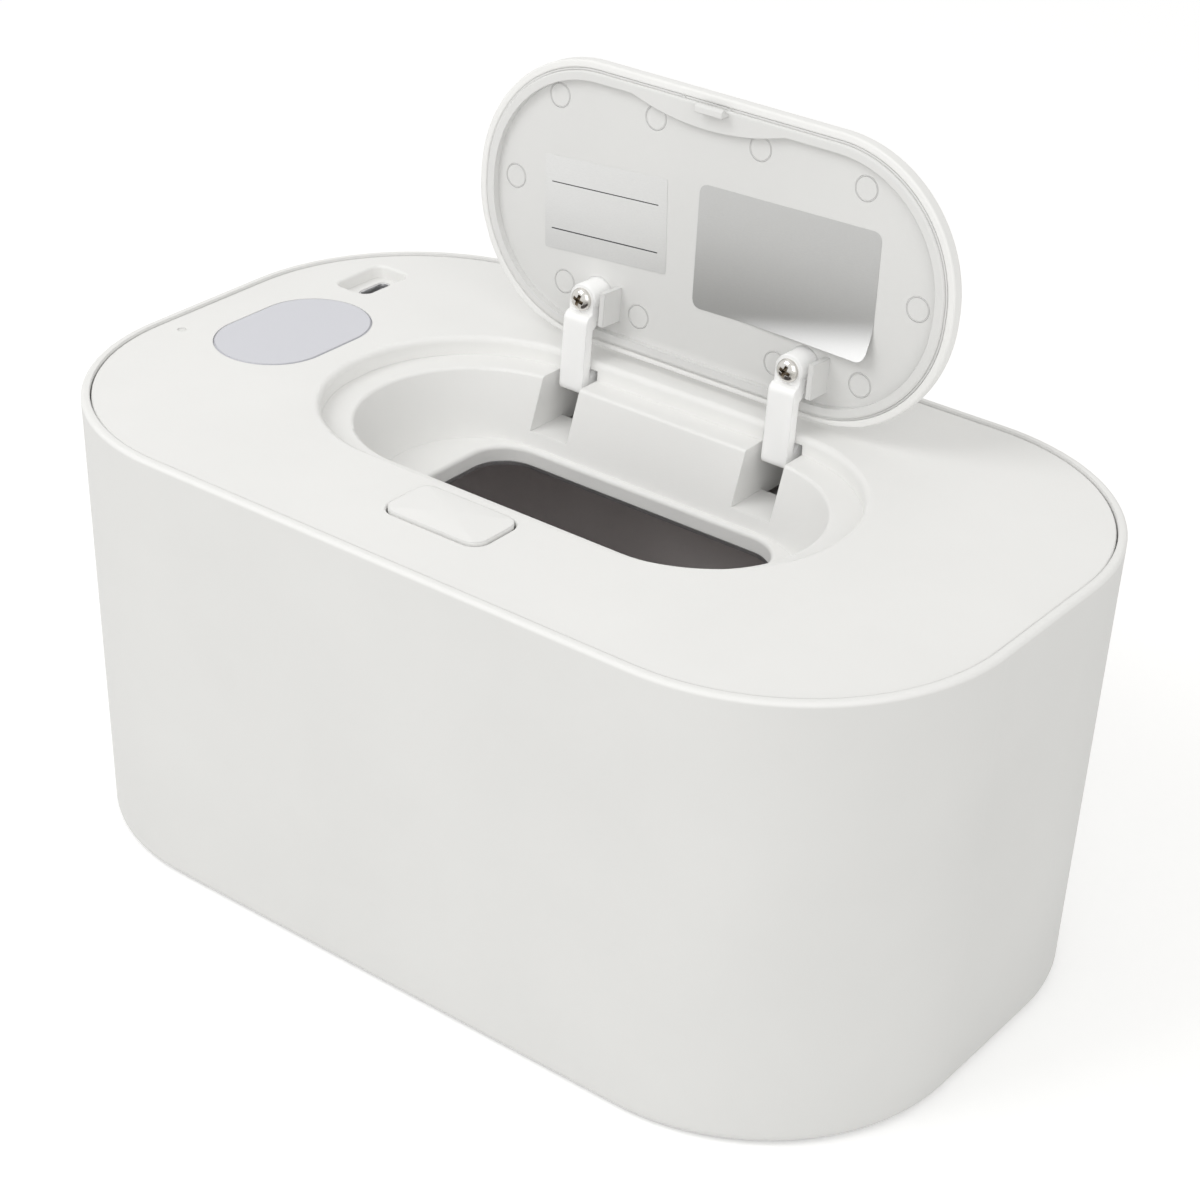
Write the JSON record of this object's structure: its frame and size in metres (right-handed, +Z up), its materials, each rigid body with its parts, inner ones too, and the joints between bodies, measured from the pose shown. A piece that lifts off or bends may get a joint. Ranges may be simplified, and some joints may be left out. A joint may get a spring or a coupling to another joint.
{
  "type": "wipe warmer",
  "caption": "Rounded white baby wipe warmer with a heated lift-off cover, a dispensing well, a hinged lid on gooseneck arms and a push-button latch.",
  "frame": {"origin": "Centre of the body's footprint, on the plane that the four rubber feet stand on.", "axes": "+Z up; X along the body's length, left to right as seen from the button side; -Y is the side with the push button, +Y the side that the lid opens towards."},
  "size_m": [0.22, 0.132, 0.1667],
  "materials": {
    "shell_white": "satin moulded",
    "deck_white": "satin moulded",
    "liner_white": "fine matt moulded",
    "arm_white": "milky moulded",
    "button_white": "satin gloss",
    "inner_white": "plain moulded",
    "tub_grey": "matt moulded",
    "foam_grey": "soft felted foam",
    "foot_rubber": "matt",
    "plate_aluminium": "brushed",
    "film_amber": "thin film",
    "steel": "zinc plated",
    "screw_bright": "bright nickel",
    "fuse_ceramic": "unglazed",
    "sensor_black": "matt",
    "window_grey": "smoked light grey",
    "board_green": "solder mask",
    "pipe_clear": "milky clear",
    "socket_steel": "pressed steel",
    "label_silver": "silver film"
  },
  "bodies": {
    "base": {"outer_shell": "shell_white", "inner_tub": "tub_grey", "insulation_sleeve": "foam_grey", "foot_front_left": "foot_rubber", "foot_front_right": "foot_rubber", "foot_rear_left": "foot_rubber", "foot_rear_right": "foot_rubber"},
    "cover": {"top_cover": "deck_white", "inner_cover": "tub_grey", "heat_plate": "plate_aluminium", "heater_film": "film_amber", "cover_screws": "steel", "thermal_fuse": "fuse_ceramic", "thermistor": "sensor_black", "display_window": "window_grey", "display_module": "sensor_black", "control_board": "board_green", "indicator_pipe": "pipe_clear", "usb_socket": "socket_steel", "usb_board": "board_green", "latch_retainer": "inner_white", "hinge_pin_left": "steel", "hinge_pin_right": "steel", "button_spring": "steel"},
    "button": {"button_cap": "button_white", "button_pin": "steel"},
    "latch": {"latch_slider": "inner_white"},
    "lid": {"lid_cover": "deck_white", "lid_liner": "liner_white", "hinge_arm_left": "arm_white", "hinge_arm_right": "arm_white", "lid_screw_left": "screw_bright", "lid_screw_right": "screw_bright", "label_left": "label_silver", "label_right": "label_silver"}
  },
  "joints": [
    {"name": "cover_lift", "type": "slide", "parent": "base", "child": "cover", "axis": [0, 0, 1], "range_m": [0, 0.06]},
    {"name": "lid_hinge", "type": "hinge", "parent": "cover", "child": "lid", "pos_m": [-0.0006, 0.0368, 0.099], "axis": [1, 0, 0], "range_deg": [0, 93.5]},
    {"name": "button_press", "type": "slide", "parent": "cover", "child": "button", "axis": [0, 0, -1], "range_m": [0, 0.0015], "stiffness_N_per_m": 400, "springref_m": -0.003, "deforming": ["button_spring"]},
    {"name": "latch_slide", "type": "slide", "parent": "cover", "child": "latch", "axis": [0, -1, 0], "range_m": [0, 0.0015]}
  ],
  "couplings": [
    {"joint": "latch_slide", "follows": "button_press", "ratio": 1}
  ]
}
